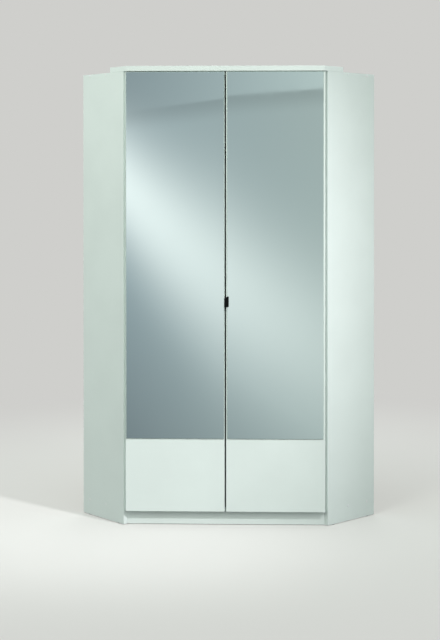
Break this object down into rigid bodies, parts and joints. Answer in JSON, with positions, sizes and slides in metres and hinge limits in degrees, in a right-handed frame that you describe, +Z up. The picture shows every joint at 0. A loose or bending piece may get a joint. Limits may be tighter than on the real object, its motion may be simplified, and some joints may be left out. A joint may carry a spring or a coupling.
{
  "type": "corner wardrobe",
  "caption": "Tall corner wardrobe: two mirrored doors across the corner between slanted side wings, with a hat shelf and a clothes rail inside.",
  "frame": {"origin": "on the floor, in the middle of the bounding box", "axes": "+Z up, -Y out of the doors, +X to the right seen from the front; the room corner is at +Y and the walls run at 45 degrees"},
  "size_m": [1.304, 0.8766, 1.99],
  "materials": {
    "white_melamine": "white melamine-faced board, satin",
    "white_hardboard": "white-coated hardboard, matt",
    "mirror_glass": "clear silvered float glass with ground edges",
    "black_plastic": "black, satin",
    "grey_plastic": "light grey, matt",
    "bright_steel": "nickel-plated steel",
    "zinc_plate": "zinc-plated steel",
    "soft_bumper": "translucent soft bumper"
  },
  "bodies": {
    "carcase": {"left_side_panel": "white_melamine", "right_side_panel": "white_melamine", "top_board": "white_melamine", "bottom_board": "white_melamine", "hat_shelf": "white_melamine", "top_rail": "white_melamine", "plinth_rail": "white_melamine", "corner_post": "white_melamine", "left_back_panel": "white_hardboard", "right_back_panel": "white_hardboard", "shelf_pin_left_back": "grey_plastic", "shelf_pin_left_front": "grey_plastic", "shelf_pin_right_back": "grey_plastic", "shelf_pin_right_front": "grey_plastic", "shelf_pin_corner": "grey_plastic", "glide_left_back": "grey_plastic", "glide_left_front": "grey_plastic", "glide_right_back": "grey_plastic", "glide_right_front": "grey_plastic", "glide_corner": "grey_plastic", "clothes_rail": "bright_steel", "rail_end_cap_left": "grey_plastic", "rail_hanger_left": "bright_steel", "door_bumper_left": "soft_bumper", "rail_end_cap_right": "grey_plastic", "rail_hanger_right": "bright_steel", "door_bumper_right": "soft_bumper", "hinge_arm_left_1": "bright_steel", "hinge_plate_left_1": "zinc_plate", "hinge_arm_left_2": "bright_steel", "hinge_plate_left_2": "zinc_plate", "hinge_arm_left_3": "bright_steel", "hinge_plate_left_3": "zinc_plate", "hinge_arm_left_4": "bright_steel", "hinge_plate_left_4": "zinc_plate", "hinge_arm_right_1": "bright_steel", "hinge_plate_right_1": "zinc_plate", "hinge_arm_right_2": "bright_steel", "hinge_plate_right_2": "zinc_plate", "hinge_arm_right_3": "bright_steel", "hinge_plate_right_3": "zinc_plate", "hinge_arm_right_4": "bright_steel", "hinge_plate_right_4": "zinc_plate"},
    "left_door": {"left_door_panel": "white_melamine", "left_mirror": "mirror_glass", "hinge_cup_left_1": "bright_steel", "hinge_cup_left_2": "bright_steel", "hinge_cup_left_3": "bright_steel", "hinge_cup_left_4": "bright_steel"},
    "right_door": {"right_door_panel": "white_melamine", "right_mirror": "mirror_glass", "hinge_cup_right_1": "bright_steel", "hinge_cup_right_2": "bright_steel", "hinge_cup_right_3": "bright_steel", "hinge_cup_right_4": "bright_steel", "handle": "black_plastic", "handle_screw_lower": "zinc_plate", "handle_screw_upper": "zinc_plate"}
  },
  "joints": [
    {"name": "left_door_hinge", "type": "hinge", "parent": "carcase", "child": "left_door", "pos_m": [-0.42265, -0.4126, 1.014], "axis": [0, 0, -1], "range_deg": [0, 105]},
    {"name": "right_door_hinge", "type": "hinge", "parent": "carcase", "child": "right_door", "pos_m": [0.42265, -0.4126, 1.014], "axis": [0, 0, 1], "range_deg": [0, 105]}
  ]
}
